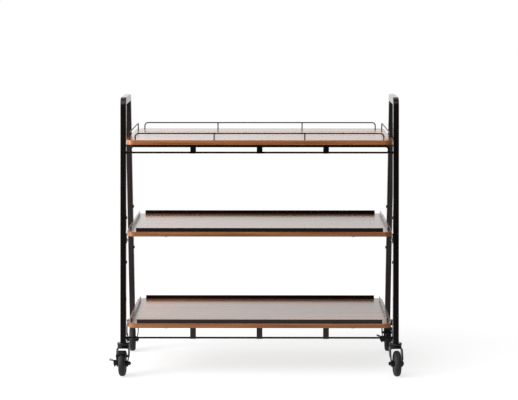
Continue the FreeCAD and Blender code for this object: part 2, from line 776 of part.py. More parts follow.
def make_stems():
    """Threaded stem, pressed raceway cup and kingpin with its rivet head, in one turned piece."""
    body = new_body("stem")
    half = new_sketch(body, "XZ_Plane")
    rivet_top = crown_base - S.running_gap
    add_outline(half, [
        (0, rivet_top - S.rivet_head_height),
        (S.rivet_head_radius, rivet_top - S.rivet_head_height),
        (S.rivet_head_radius, rivet_top),
        (S.kingpin_radius, rivet_top),
        (S.kingpin_radius, raceway_base),
        (S.raceway_radius, raceway_base),
        (S.raceway_radius, S.foot_height, S.raceway_round),
        (S.stem_radius, S.foot_height),
        (S.stem_radius, S.foot_height + S.stem_length),
        (0, S.foot_height + S.stem_length),
    ])
    revolve(body, half, "V_Axis")
    washer = new_body("washer")
    ring = new_sketch(washer, "XY_Plane", raceway_base)
    add_circle(ring, 0, 0, S.washer_radius)
    add_circle(ring, 0, 0, S.kingpin_radius + S.running_gap)
    feature(washer, "Pad", ring, S.washer_height, turned=True)
    corners = [(frame_x * i, foot_y * j) for i in (-1, 1) for j in (-1, 1)]
    for name, master in (("caster_stems", body), ("swivel_washers", washer)):
        node(group(name, [copy_of(master, AS_MADE, x, y, 0) for x, y in corners]), name)


make_stems()


# ---- casters: fork, axle, wheel --------------------------------------------------------

def make_fork(name, has_brake):
    """A plate folded over the wheel under a round crown, its legs drawn in to the hub."""
    body = new_body(name)
    boss = S.fork_boss_radius
    axle_y = -S.trail
    low, high = axle_z - boss, crown_base + S.fork_thickness
    side = new_sketch(body, "YZ_Plane")
    add_outline(side, [
        (-S.fork_front, high),
        (-S.fork_front, S.fork_brow, boss / 2),
        (axle_y - boss, axle_z + boss / 2, boss),
        (axle_y - boss, low, boss - S.hole_fit),
        (axle_y + boss, low, boss - S.hole_fit),
        (S.fork_back, S.fork_heel, boss / 2),
        (S.fork_back, high),
    ])
    feature(body, "Pad", side, S.fork_half_width * 2, both_sides=True)
    room = new_sketch(body, "XZ_Plane")
    flare = S.fork_flare_radius
    add_outline(room, [
        (-hub_seat, low - boss),
        (hub_seat, low - boss),
        (hub_seat, flare_base, flare + S.fork_thickness),
        (fork_inside, flare_top, flare),
        (fork_inside, crown_base, S.fork_shoulder_radius - S.fork_thickness),
        (-fork_inside, crown_base, S.fork_shoulder_radius - S.fork_thickness),
        (-fork_inside, flare_top, flare),
        (-hub_seat, flare_base, flare + S.fork_thickness),
    ])
    feature(body, "Pocket", room, both_sides=True, through=True)
    trim = new_sketch(body, "XZ_Plane")
    wide = S.fork_half_width + boss
    for sign in (-1, 1):
        add_outline(trim, [
            (fork_waist * sign, low - boss),
            (wide * sign, low - boss),
            (wide * sign, high + boss),
            ((S.fork_half_width - S.fork_shoulder_radius) * sign, high + boss),
            ((S.fork_half_width - S.fork_shoulder_radius) * sign, high),
            (S.fork_half_width * sign, high, S.fork_shoulder_radius - S.hole_fit),
            (S.fork_half_width * sign, flare_top, flare + S.fork_thickness),
            (fork_waist * sign, flare_base, flare),
        ])
    feature(body, "Pocket", trim, both_sides=True, through=True)
    crown = new_sketch(body, "XY_Plane", crown_base)
    add_circle(crown, 0, 0, S.crown_radius)
    dish = feature(body, "Pad", crown, S.crown_height)
    top = crown_top.value
    fillet(body, dish, S.raceway_round, lambda edge: edge.BoundBox.ZMin > top - 0.01)
    kingpin = new_sketch(body, "XY_Plane", crown_top)
    add_circle(kingpin, 0, 0, S.kingpin_radius + S.hole_fit)
    feature(body, "Pocket", kingpin, S.crown_height)
    pins = new_sketch(body, "YZ_Plane")
    add_circle(pins, axle_y, axle_z, S.axle_radius + S.hole_fit)
    if has_brake:
        add_circle(pins, axle_y + S.pivot_back, axle_z + S.pivot_rise,
                   S.pivot_radius + S.hole_fit)
    feature(body, "Pocket", pins, both_sides=True, through=True)
    return body


def make_axle(name, nut_side):
    """A hexagon bolt through fork and hub, with its nut, on the +X side or on the -X side."""
    along = Rotation(Vector(0, 1, 0), 90 * nut_side)
    against = Rotation(Vector(0, 1, 0), -90 * nut_side)
    shank = doc.addObject("Part::Cylinder", name + "_shank")
    shank.setExpression("Radius", S.axle_radius.formula)
    shank.setExpression("Height", (fork_waist * 2 + S.nut_height + S.axle_overhang).formula)
    shank.Placement = Placement(Vector(), along)
    place(shank, fork_waist * -nut_side)
    head = doc.addObject("Part::Prism", name + "_head")
    head.setExpression("Circumradius", S.nut_radius.formula)
    head.setExpression("Height", S.bolt_hex_height.formula)
    head.Placement = Placement(Vector(), against)
    place(head, fork_waist * -nut_side)
    bolt = doc.addObject("Part::MultiFuse", name + "_bolt")
    bolt.Shapes = [shank, head]
    hexagon = doc.addObject("Part::Prism", name + "_hexagon")
    hexagon.setExpression("Circumradius", S.nut_radius.formula)
    hexagon.setExpression("Height", S.nut_height.formula)
    hexagon.Placement = Placement(Vector(), along)
    place(hexagon, fork_waist * nut_side)
    thread = doc.addObject("Part::Cylinder", name + "_thread")
    thread.setExpression("Radius", (S.axle_radius + S.hole_fit).formula)
    thread.setExpression("Height", S.nut_height.formula)
    thread.Placement = Placement(Vector(), along)
    place(thread, fork_waist * nut_side)
    nut = doc.addObject("Part::Cut", name + "_nut")
    nut.Base = hexagon
    nut.Tool = thread
    return group(name, [bolt, nut])


def make_hub(name):
    """Moulded hub: a barrel on the axle, cones out to a broad rim."""
    body = new_body(name)
    half = new_sketch(body, "XZ_Plane")
    barrel, bore = S.hub_half_length, S.axle_radius + S.hole_fit
    add_outline(half, [
        (-barrel, bore), (barrel, bore), (barrel, S.hub_radius), (S.web_half_width, S.hub_radius),
        (S.rim_half_width, S.rim_radius), (-S.rim_half_width, S.rim_radius),
        (-S.web_half_width, S.hub_radius), (-barrel, S.hub_radius),
    ])
    revolve(body, half, "H_Axis")
    return body


def make_tyre(name):
    """Rubber tyre with round shoulders, moulded on the rim."""
    body = new_body(name)
    half = new_sketch(body, "XZ_Plane")
    side, lip = S.tyre_half_width, (S.tyre_half_width - S.rim_half_width) / 2
    add_outline(half, [
        (-side, S.rim_radius, lip), (side, S.rim_radius, lip),
        (side, S.wheel_radius, S.tread_round), (-side, S.wheel_radius, S.tread_round),
    ])
    revolve(body, half, "H_Axis")
    return body


# ---- casters: brake --------------------------------------------------------------------

bail_outside = S.bail_inside + S.bail_thickness
shoe_inside = S.wheel_radius + S.bail_gap           # from the axle to the shoe's two faces
shoe_outside = shoe_inside + S.bail_thickness
shoe_normal = (-S.bail_angle.cosine(), S.bail_angle.sine())
pivot = (-S.trail + S.pivot_back, axle_z + S.pivot_rise)
shield_y = -S.trail - S.lever_front
shield_top = axle_z + S.lever_top


def shoe_point(radius, along):
    """(y, z) over the tread: this far from the axle, and this far back along the flat shoe."""
    y = -S.trail + shoe_normal[0] * radius + shoe_normal[1] * along
    z = axle_z + shoe_normal[1] * radius - shoe_normal[0] * along
    return y, z


def tab_point(along, over):
    """(x, z) on the tilted tongue: this far out past the shield, this far over the tongue."""
    x = -S.lever_left - S.tab_tilt.cosine() * along + S.tab_tilt.sine() * over
    z = shield_top + S.tab_tilt.sine() * along + S.tab_tilt.cosine() * over
    return x, z


def make_brake_lever(name):
    """Pressed bail whose flat shoe lies over the tread, with a foot lever on its left cheek."""
    body = new_body(name)
    eye, corner = S.pivot_eye_radius, S.bail_corner_radius
    low, high = -S.bail_half_length, S.bail_half_length
    channel = new_sketch(body, "XZ_Plane")
    channel.setExpression("AttachmentOffset.Base.y", axle_z.formula)
    channel.setExpression("AttachmentOffset.Base.z", S.trail.formula)
    channel.setExpression("AttachmentOffset.Rotation.Roll", f"(90 - {S.bail_angle.formula}) * 1deg")
    bend = corner - S.bail_thickness
    add_outline(channel, [
        (-bail_outside, 0), (-S.bail_inside, 0), (-S.bail_inside, shoe_inside, bend),
        (S.bail_inside, shoe_inside, bend), (S.bail_inside, 0), (bail_outside, 0),
        (bail_outside, shoe_outside, corner), (-bail_outside, shoe_outside, corner),
    ])
    feature(body, "Pad", channel, eye * 10, both_sides=True)
    trim = new_sketch(body, "YZ_Plane")
    margin = S.wheel_radius * 2
    add_rectangle(trim, -S.trail - margin, axle_z - margin, -S.trail + margin, axle_z + margin)
    add_outline(trim, [
        (pivot[0] - eye * 2, pivot[1] - eye, eye),
        (pivot[0] + eye, pivot[1] - eye, eye - S.hole_fit),
        (pivot[0] + eye, pivot[1] + eye, eye - S.hole_fit),
        (*shoe_point(shoe_inside - corner, high), corner),
        shoe_point(shoe_outside + corner, high), shoe_point(shoe_outside + corner, low),
        shoe_point(shoe_inside - corner, low),
    ])
    feature(body, "Pocket", trim, both_sides=True, through=True)
    arm = new_sketch(body, "YZ_Plane", -bail_outside)
    waist = axle_z + S.lever_corner
    add_outline(arm, [
        (shield_y, waist), (shield_y + S.lever_thickness, waist),
        (pivot[0] - eye, pivot[1] - eye / 2), pivot,
        shoe_point(shoe_inside - corner, 0), shoe_point(shoe_inside - corner, low),
        (shield_y, shield_top),
    ])
    feature(body, "Pad", arm, S.bail_thickness)
    shield = new_sketch(body, "XZ_Plane", -shield_y)
    add_outline(shield, [
        (-S.bail_inside, waist), (-S.bail_inside, shield_top), (-S.lever_left, shield_top),
        (-S.lever_left, waist), (-(S.lever_left * 2 + bail_outside) / 3, axle_z - S.lever_tail),
        (-bail_outside - S.lever_thickness, waist),
    ])
    feature(body, "Pad", shield, S.lever_thickness, turned=True)
    tongue = new_sketch(body, "XZ_Plane", -shield_y - S.lever_thickness)
    under = -S.lever_thickness
    add_outline(tongue, [tab_point(under, 0), tab_point(S.tab_length, 0),
                         tab_point(S.tab_length, under), tab_point(under, under)])
    tab = feature(body, "Pad", tongue, S.tab_front + S.lever_thickness)
    end_x = tab_point(S.tab_length, 0)[0].value + S.lever_thickness.value
    fillet(body, tab, S.tab_corner_radius,
           lambda edge: edge.BoundBox.XMax < end_x and edge.BoundBox.YLength < 0.01)
    eyes = new_sketch(body, "YZ_Plane")
    add_circle(eyes, *pivot, S.pivot_radius + S.hole_fit)
    feature(body, "Pocket", eyes, both_sides=True, through=True)
    return body


def make_brake_pad(name):
    """Plastic sleeve pushed on the lever's tongue."""
    body = new_body(name)
    wall, fit, under = S.pad_wall, S.pad_fit, -S.lever_thickness
    outside = new_sketch(body, "XZ_Plane", -shield_y - S.lever_thickness - wall)
    far_end = S.tab_length + wall
    add_outline(outside, [tab_point(S.pad_start, wall), tab_point(far_end, wall),
                          tab_point(far_end, under - wall), tab_point(S.pad_start, under - wall)])
    block = feature(body, "Pad", outside, S.tab_front + S.lever_thickness + wall * 2)
    fillet(body, block, wall - fit, lambda edge: True)
    slot = new_sketch(body, "XZ_Plane", -shield_y - S.lever_thickness - fit)
    far_end = S.tab_length + fit
    add_outline(slot, [tab_point(0, fit), tab_point(far_end, fit),
                       tab_point(far_end, under - fit), tab_point(0, under - fit)])
    feature(body, "Pocket", slot, S.tab_front + S.lever_thickness + fit * 2, turned=True)
    return body


def make_rivets(name):
    """The two rivets on which the bail turns, each with a collar between fork and cheek."""
    body = new_body(name + "_rivet")
    head, shank = S.pivot_head_radius, S.pivot_radius
    seat = S.bail_inside - S.hole_fit
    half = new_sketch(body, "XZ_Plane")
    add_outline(half, [
        (seat - S.pivot_head_height, 0), (S.fork_half_width + S.pivot_head_height, 0),
        (S.fork_half_width + S.pivot_head_height, head), (S.fork_half_width, head),
        (S.fork_half_width, shank), (fork_inside, shank), (fork_inside, head),
        (bail_outside + S.running_gap, head), (bail_outside + S.running_gap, shank),
        (seat, shank), (seat, head), (seat - S.pivot_head_height, head),
    ])
    revolve(body, half, "H_Axis")
    return group(name, [copy_of(body, turn, 0, *pivot) for turn in (AS_MADE, TURNED)])


def make_caster(corner, side, end, yaw, has_brake, nut_side):
    """Fork, axle and wheel of one caster, with its brake, turned about the swivel axis."""
    x, y = frame_x * side, foot_y * end
    hub_x = x + S.trail * yaw.sine()
    hub_y = y - S.trail * yaw.cosine()
    node(place(make_fork(corner + "_fork", has_brake), x, y, 0, yaw), corner + "_fork")
    axle = make_axle(corner + "_axle", nut_side)
    node(place(axle, hub_x, hub_y, axle_z, yaw), corner + "_axle")
    for part, make in (("hub", make_hub), ("tyre", make_tyre)):
        name = f"{corner}_{part}"
        node(place(make(name), hub_x, hub_y, axle_z, yaw), name)
    if has_brake:
        for part, make in (("brake_lever", make_brake_lever), ("brake_pad", make_brake_pad),
                           ("brake_rivets", make_rivets)):
            name = f"{corner}_{part}"
            node(place(make(name), x, y, 0, yaw), name)


make_caster("front_left", -1, -1, S.front_left_yaw, True, 1)
make_caster("front_right", 1, -1, S.front_right_yaw, False, -1)
make_caster("rear_left", -1, 1, S.rear_left_yaw, False, -1)
make_caster("rear_right", 1, 1, S.rear_right_yaw, True, -1)


# ---- check and write -------------------------------------------------------------------

doc.recompute()
for item in doc.Objects:
    if "Invalid" in item.State or "Error" in item.State:
        raise RuntimeError(f"{item.Label} failed: {item.State}")
for item in nodes:
    shape = item.Shape
    if shape.isNull() or not shape.isValid() or not shape.Solids:
        raise RuntimeError(f"{item.Label} has no sound solid")

os.makedirs("parts", exist_ok=True)
for item in nodes:
    item.Shape.exportStep(f"parts/{item.Label}.step")
print(len(nodes), "nodes,", sum(len(item.Shape.Solids) for item in nodes), "solids")
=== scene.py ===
import json
import math

import bmesh
import bpy
import numpy as np
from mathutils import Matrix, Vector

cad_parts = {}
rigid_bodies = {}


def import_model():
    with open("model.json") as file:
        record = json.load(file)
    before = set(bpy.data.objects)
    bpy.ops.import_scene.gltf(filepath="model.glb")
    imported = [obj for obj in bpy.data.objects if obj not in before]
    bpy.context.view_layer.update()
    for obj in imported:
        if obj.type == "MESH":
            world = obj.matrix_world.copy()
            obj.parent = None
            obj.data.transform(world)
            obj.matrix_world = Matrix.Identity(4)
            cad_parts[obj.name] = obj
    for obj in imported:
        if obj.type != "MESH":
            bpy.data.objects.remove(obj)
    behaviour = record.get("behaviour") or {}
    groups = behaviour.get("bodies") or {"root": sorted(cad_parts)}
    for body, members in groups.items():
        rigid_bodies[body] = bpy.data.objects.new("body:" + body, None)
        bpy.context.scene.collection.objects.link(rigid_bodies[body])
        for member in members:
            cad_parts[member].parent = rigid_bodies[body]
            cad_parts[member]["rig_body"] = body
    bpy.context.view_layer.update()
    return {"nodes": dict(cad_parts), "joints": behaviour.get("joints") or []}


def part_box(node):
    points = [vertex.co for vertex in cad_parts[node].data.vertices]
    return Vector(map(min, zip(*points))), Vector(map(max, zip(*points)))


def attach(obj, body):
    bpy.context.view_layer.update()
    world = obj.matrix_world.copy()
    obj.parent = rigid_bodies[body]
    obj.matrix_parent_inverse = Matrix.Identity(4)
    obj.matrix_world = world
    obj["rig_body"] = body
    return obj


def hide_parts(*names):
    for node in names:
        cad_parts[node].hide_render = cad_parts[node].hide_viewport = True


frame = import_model()


# ---- End frames ----------------------------------------------------------------------------
# Each is one length of 25 x 20 mm rectangular steel tube with rounded corners, cold bent into
# an upside-down U: the top is the push handle and the legs lean together. Black powder coat.

MM = 0.001
TUBE_WIDTH = 20 * MM
TUBE_DEPTH = 25 * MM
TUBE_WALL = 1.5 * MM
TUBE_CORNER = 2 * MM
HANDLE_SPREAD = 204 * MM       # between the legs' centre lines at the handle's top
FOOT_SPREAD = 411 * MM         # and at the feet
HANDLE_BEND = 20 * MM          # radius of the tube's centre line
SHARP = math.radians(35)       # edges that turn by more than this stay sharp


def add_node(tree, kind, inputs=None, **settings):
    """Adds a node. An input takes a plain value, or another node's socket, which is linked."""
    item = tree.nodes.new(kind)
    for name, value in settings.items():
        setattr(item, name, value)
    for name, value in (inputs or {}).items():
        if isinstance(value, bpy.types.NodeSocket):
            tree.links.new(value, item.inputs[name])
        else:
            item.inputs[name].default_value = value
    return item


def linear(code):
    """An sRGB hex colour as linear: c / 12.92 in the dark, ((c + 0.055) / 1.055)^2.4 above it."""
    parts = [int(code[i:i + 2], 16) / 255 for i in (1, 3, 5)]
    return [c / 12.92 if c <= 0.04045 else ((c + 0.055) / 1.055) ** 2.4 for c in parts] + [1.0]


def start_material(name):
    """An empty material with its Principled shader wired to the output."""
    material = bpy.data.materials.new(name)
    material.use_nodes = True
    tree = material.node_tree
    tree.nodes.clear()
    shader = add_node(tree, "ShaderNodeBsdfPrincipled")
    add_node(tree, "ShaderNodeOutputMaterial", {"Surface": shader.outputs["BSDF"]})
    return material, tree, shader


def add_grain(tree, shader, size, depth, strength, detail):
    """Roughens a coat or a moulding: soft bumps of this size, fixed to the piece, that tilt its
    surface as if they stood up by this depth."""
    place = add_node(tree, "ShaderNodeTexCoord")
    bumps = add_node(tree, "ShaderNodeTexNoise", {
        "Vector": place.outputs["Object"], "Scale": 1 / size, "Detail": detail})
    tilt = add_node(tree, "ShaderNodeBump", {
        "Height": bumps.outputs["Fac"], "Distance": depth, "Strength": strength})
    tree.links.new(tilt.outputs["Normal"], shader.inputs["Normal"])


def make_powder_coat(name, roughness, gloss):
    """Black polyester powder, sprayed and baked on steel: a warm near black, glossy on tube and
    bar, duller on thin wire, its skin rippled like orange peel every 2 mm. A little of the warm
    tone is in the gloss too, which shows where the coat mirrors the floor."""
    material, tree, shader = start_material(name)
    shader.inputs["Base Color"].default_value = linear("#150E0D")
    shader.inputs["Roughness"].default_value = roughness
    shader.inputs["Specular IOR Level"].default_value = gloss
    shader.inputs["Specular Tint"].default_value = linear("#FFEEEC")
    add_grain(tree, shader, size=2 * MM, depth=0.004 * MM, strength=0.3, detail=2.0)
    return material


def rounded_rectangle(width, depth, radius, steps=5):
    """Once round a rectangle, anticlockwise: each corner's centre plus the radius times
    (cos t, sin t), with t running through that corner's quarter turn."""
    turn = np.linspace(0, math.pi / 2, steps + 1)
    quarter = (np.arange(4) * math.pi / 2)[:, None]
    reach = [width / 2 - radius, depth / 2 - radius]
    centres = np.array([(1, 1), (-1, 1), (-1, -1), (1, -1)]) * reach
    arc = np.stack([np.cos(quarter + turn), np.sin(quarter + turn)], axis=-1) * radius
    return (centres[:, None, :] + arc).reshape(-1, 2)


def bent_line(corners, radii, steps=10):
    """A line from corner to corner with an arc in each: the arc's centre lies on the corner's
    bisector, radius / cos(half the turn) away, and its points swing from one leg to the next.
    One radius serves all corners, or each has its own."""
    corners = np.asarray(corners, float)
    radii = np.broadcast_to(radii, len(corners) - 2)
    parts = [corners[:1]]
    for before, corner, after, radius in zip(corners, corners[1:], corners[2:], radii):
        come = (corner - before) / np.linalg.norm(corner - before)
        go = (after - corner) / np.linalg.norm(after - corner)
        half = math.acos(np.clip(come @ go, -1, 1)) / 2
        inward = (go - come) / np.linalg.norm(go - come)
        forward = (go + come) / np.linalg.norm(go + come)
        centre = corner + inward * radius / math.cos(half)
        swing = np.linspace(-half, half, steps + 1)[:, None]
        parts.append(centre + radius * (np.sin(swing) * forward - np.cos(swing) * inward))
    return np.concatenate(parts + [corners[-1:]])


def carry(profile, path, across, growth=None):
    """Carries a flat profile along a path that lies in one plane. At each point the profile's
    first number runs along the plane's normal, across, and its second along tangent x normal,
    and a growth, if there is one, multiplies both."""
    path, across = np.asarray(path, float), np.asarray(across, float)
    step = np.diff(path, axis=0)
    step /= np.linalg.norm(step, axis=1)[:, None]
    tangent = np.concatenate([step[:1], step[:-1] + step[1:], step[-1:]])
    tangent /= np.linalg.norm(tangent, axis=1)[:, None]
    side = np.cross(tangent, across)
    size = np.ones(len(path)) if growth is None else growth
    return path[:, None] + size[:, None, None] * (
        profile[None, :, :1] * across + profile[None, :, 1:] * side[:, None])


def skin(rings, loop=False):
    """Faces over a stack of equal rings: quads between neighbours and one face on each end, or
    where loop is set, no ends and the last ring joined to the first."""
    count, around = rings.shape[:2]
    first = np.arange(count if loop else count - 1)[:, None] * around
    here = np.arange(around)[None]
    there = (here + 1) % around
    above = (first + around) % (count * around)
    quads = np.stack([first + here, first + there, above + there, above + here], axis=-1)
    faces = quads.reshape(-1, 4).tolist()
    if not loop:
        faces.append(list(range(around))[::-1])
        faces.append(list(range((count - 1) * around, count * around)))
    return rings.reshape(-1, 3), faces


def add_piece(name, shell, materials, body, nodes, face_material=None):
    """Makes the piece, smooth but for its sharp edges, fixes it to its body with its finish, and
    hides the CAD nodes that it stands for."""
    points, faces = shell
    mesh = bpy.data.meshes.new(name)
    mesh.from_pydata(points.tolist(), [], faces)
    for material in materials:
        mesh.materials.append(material)
    if face_material is not None:
        mesh.polygons.foreach_set("material_index", face_material)
    mesh.shade_smooth()
    mesh.set_sharp_from_angle(angle=SHARP)
    item = bpy.data.objects.new(name, mesh)
    bpy.context.scene.collection.objects.link(item)
    flat = item.modifiers.new("flat faces stay flat", "WEIGHTED_NORMAL")
    flat.keep_sharp = True
    flat.weight = 100
    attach(item, body)
    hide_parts(*nodes)


powder_coat = make_powder_coat("Black powder coat on steel", roughness=0.2, gloss=0.5)
frame_low, frame_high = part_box("right_end_frame")
foot_height, handle_top = frame_low.z, frame_high.z
leg_inside = frame_low.x
lean = (FOOT_SPREAD - HANDLE_SPREAD) / 2 / (handle_top - foot_height)


def leg_y(height):
    """How far a leg's centre line is from the table's middle at this height."""
    return FOOT_SPREAD / 2 - lean * (height - foot_height)


def end_frame(side):
    """The tube's outside and its bore, carried along the hoop and joined round each foot,
    where both are cut level."""
    x = side * (leg_inside + TUBE_WIDTH / 2)
    middle = handle_top - TUBE_DEPTH / 2
    path = bent_line([(x, -leg_y(foot_height), foot_height), (x, -leg_y(middle), middle),
                      (x, leg_y(middle), middle), (x, leg_y(foot_height), foot_height)],
                     HANDLE_BEND, steps=16)
    outside = rounded_rectangle(TUBE_WIDTH, TUBE_DEPTH, TUBE_CORNER)
    bore = rounded_rectangle(TUBE_WIDTH - 2 * TUBE_WALL, TUBE_DEPTH - 2 * TUBE_WALL,
                             TUBE_CORNER - TUBE_WALL)
    rings = np.concatenate([carry(outside, path, (-1, 0, 0)),
                            carry(bore, path, (-1, 0, 0))[::-1]])
    for end, lean_y in ((0, lean), (len(path) - 1, -lean), (len(path), -lean), (-1, lean)):
        drop = foot_height - rings[end, :, 2]
        rings[end, :, 1] += drop * lean_y
        rings[end, :, 2] = foot_height
    return skin(rings, loop=True)


for side, name in ((-1, "left_end_frame"), (1, "right_end_frame")):
    add_piece(name + "_tube", end_frame(side), [powder_coat], "chassis",
              [name])


# ---- Beams ---------------------------------------------------------------------------------
# Under the top shelf two rods run from leg to leg at the front and the back, the upper one's
# ends turned down onto the lower one, and one rod under the bottom shelf. Drawn round steel,
# welded, with a small bead where each end lands. Powder coated with the frame.

ROD_RADIUS = 3.25 * MM
ROD_BEND = 10.5 * MM
ROD_RETURN = 15.3 * MM         # from the leg to the upper rod's turned-down end
BEAD_REACH = 1.8 * MM          # how far a weld bead climbs the rod
BEAD_GROWTH = 0.55             # of the rod's radius at the bead's root
BEAD_STEPS = np.array([0, 0.4, 0.8, 1.2, 1.7, 2.3, 3.1, 4.2, 6]) * MM    # from a rod's end
LANDING_STEPS = np.array([0, 0.5, 1, 1.5, 2.2, 3, 4]) * MM               # on a turned end
ROD_SUNK = 0.5 * MM            # how far the upper rod's ends go into the lower rod
thin_coat = make_powder_coat("Black powder coat on wire and rod", roughness=0.4, gloss=0.18)


def ring(radius, steps=24):
    """A circle: the radius times (cos t, sin t)."""
    turn = np.arange(steps) * 2 * math.pi / steps
    return np.stack([np.cos(turn), np.sin(turn)], axis=-1) * radius


def near_ends(low, high):
    """Numbers from low to high, close together at both ends, where the weld beads are."""
    return np.concatenate([low + BEAD_STEPS, high - BEAD_STEPS[::-1]])


def bead(path):
    """Growth of a rod towards its two ends: 1 + bead x exp(-(distance / reach)^2)."""
    run = np.concatenate([[0], np.cumsum(np.linalg.norm(np.diff(path, axis=0), axis=1))])
    reach = np.minimum(run, run[-1] - run) / BEAD_REACH
    return 1 + BEAD_GROWTH * np.exp(-reach ** 2)


def straight_rod(y, z):
    """A round rod from leg to leg with a bead at each end."""
    x = near_ends(-leg_inside, leg_inside)
    path = np.stack([x, np.full_like(x, y), np.full_like(x, z)], axis=-1)
    return skin(carry(ring(ROD_RADIUS), path, (0, 1, 0), bead(path)))


def upper_rod(y, z, landing):
    """A round rod whose ends turn down through an arc and land on the rod below."""
    end = leg_inside - ROD_RETURN
    line = bent_line([(-end, y, landing), (-end, y, z), (end, y, z), (end, y, landing)], ROD_BEND)
    climb = landing + LANDING_STEPS
    left = np.stack([np.full_like(climb, -end), np.full_like(climb, y), climb], axis=-1)
    path = np.concatenate([left, line[1:-1], (left * [-1, 1, 1])[::-1]])
    return skin(carry(ring(ROD_RADIUS), path, (0, 1, 0), bead(path)))


for end in ("front", "rear"):
    for level in ("lower", "bottom"):
        low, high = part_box(f"{end}_{level}_rod")
        middle = (low + high) / 2
        add_piece(f"{end}_{level}_round_rod", straight_rod(middle.y, middle.z), [thin_coat],
                  "chassis", [f"{end}_{level}_rod"])
    low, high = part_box(f"{end}_upper_rod")
    add_piece(f"{end}_upper_round_rod",
              upper_rod((low.y + high.y) / 2, high.z - ROD_RADIUS, low.z - ROD_SUNK),
              [thin_coat], "chassis", [f"{end}_upper_rod"])


# ---- Folded plates and brackets ------------------------------------------------------------
# Mild steel strip, 2.5 mm thick, cut, punched and folded over under the shelf: three plates
# are welded to each beam, and an angle on each leg carries the middle shelf. Powder coated.

PLATE_EDGE = 0.4 * MM          # how far the coat rounds a sheared edge
SAME_PLACE = 0.002 * MM        # points as close as this are one
SAME_PLANE = math.radians(1)   # faces that turn by less than this are one


def dressed_copy(node, material, edge, name):
    """The CAD node's own mesh, its loose triangles merged and its flat faces made whole again,
    with every sharp edge rounded by this much, or left sharp where that is 0."""
    source = frame["nodes"][node]
    mesh = source.data.copy()
    mesh.name = name
    mesh.materials.clear()
    mesh.materials.append(material)
    item = bpy.data.objects.new(name, mesh)
    bpy.context.scene.collection.objects.link(item)
    work = bmesh.new()
    work.from_mesh(mesh)
    bmesh.ops.remove_doubles(work, verts=work.verts, dist=SAME_PLACE)
    bmesh.ops.dissolve_limit(work, angle_limit=SAME_PLANE, verts=work.verts, edges=work.edges)
    work.to_mesh(mesh)
    work.free()
    mesh.shade_smooth()
    mesh.set_sharp_from_angle(angle=SHARP)
    if edge:
        bevel = item.modifiers.new("rounded edges", "BEVEL")
        bevel.width = edge
        bevel.segments = 2
        bevel.limit_method = "ANGLE"
        bevel.angle_limit = SHARP
        bevel.harden_normals = True
    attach(item, source["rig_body"])
    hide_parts(node)


for node in ("front_top_plates", "rear_top_plates", "front_bottom_plates",
             "rear_bottom_plates", "shelf_brackets"):
    dressed_copy(node, powder_coat, PLATE_EDGE, node + "_strip")


# ---- Shelves -------------------------------------------------------------------------------
# Three 16 mm boards with rounded corners: walnut veneer, its grain running the table's length,
# on both faces, a lighter walnut band round the edge, and satin lacquer over all of it.

SHELF_CORNER = 28 * MM
SHELF_EDGE = 1 * MM            # rounding of the band's edges
SHELF_MARGIN = 0.5 * MM        # width of the flat ring inside the rounding
CORNER_STEPS = 12
EDGE_STEPS = 4
VENEER_ROWS = 3                # rows of faces at top and bottom that still show the veneer
# Each board's edge band has its own dark and light brown, and these hold painted light: the top
# board's band is painted lighter because it gets the most light, and the two lower bands darker
# because they lie in the shade of the shelves above.
BAND_TONES_WITH_PAINTED_LIGHT = (("top", "#93552C", "#D68C55"), ("middle", "#7C4629", "#C48453"),
              ("bottom", "#80472A", "#C4824F"))


def slab(low, high, corner, rows, steps):
    """Rounded rectangles stacked up: each row is (inset, height), the outline drawn in by the
    inset on every side, its corner radius smaller by as much."""
    middle = (np.array(low) + np.array(high)) / 2
    width, depth = high[0] - low[0], high[1] - low[1]
    rings = []
    for inset, height in rows:
        plan = rounded_rectangle(width - 2 * inset, depth - 2 * inset, corner - inset, steps)
        rings.append(np.column_stack([plan + middle[:2], np.full(len(plan), height)]))
    return skin(np.array(rings))


def eased_rows(bottom, top, edge, margin, below=True):
    """Rows up the side of a slab whose rims are rounded by quarter circles, with one more row
    inside each rounded rim to keep the flat face flat. Where below isn't set, the lower rim is
    left square."""
    turn = np.linspace(0, math.pi / 2, EDGE_STEPS + 1)
    upper = [(edge - edge * math.cos(t), top - edge + edge * math.sin(t)) for t in turn]
    lower = [(0.0, bottom)]
    if below:
        rim = [(inset, bottom + top - height) for inset, height in upper[::-1]]
        lower = [(edge + margin, bottom)] + rim
    return lower + upper + [(edge + margin, top)]


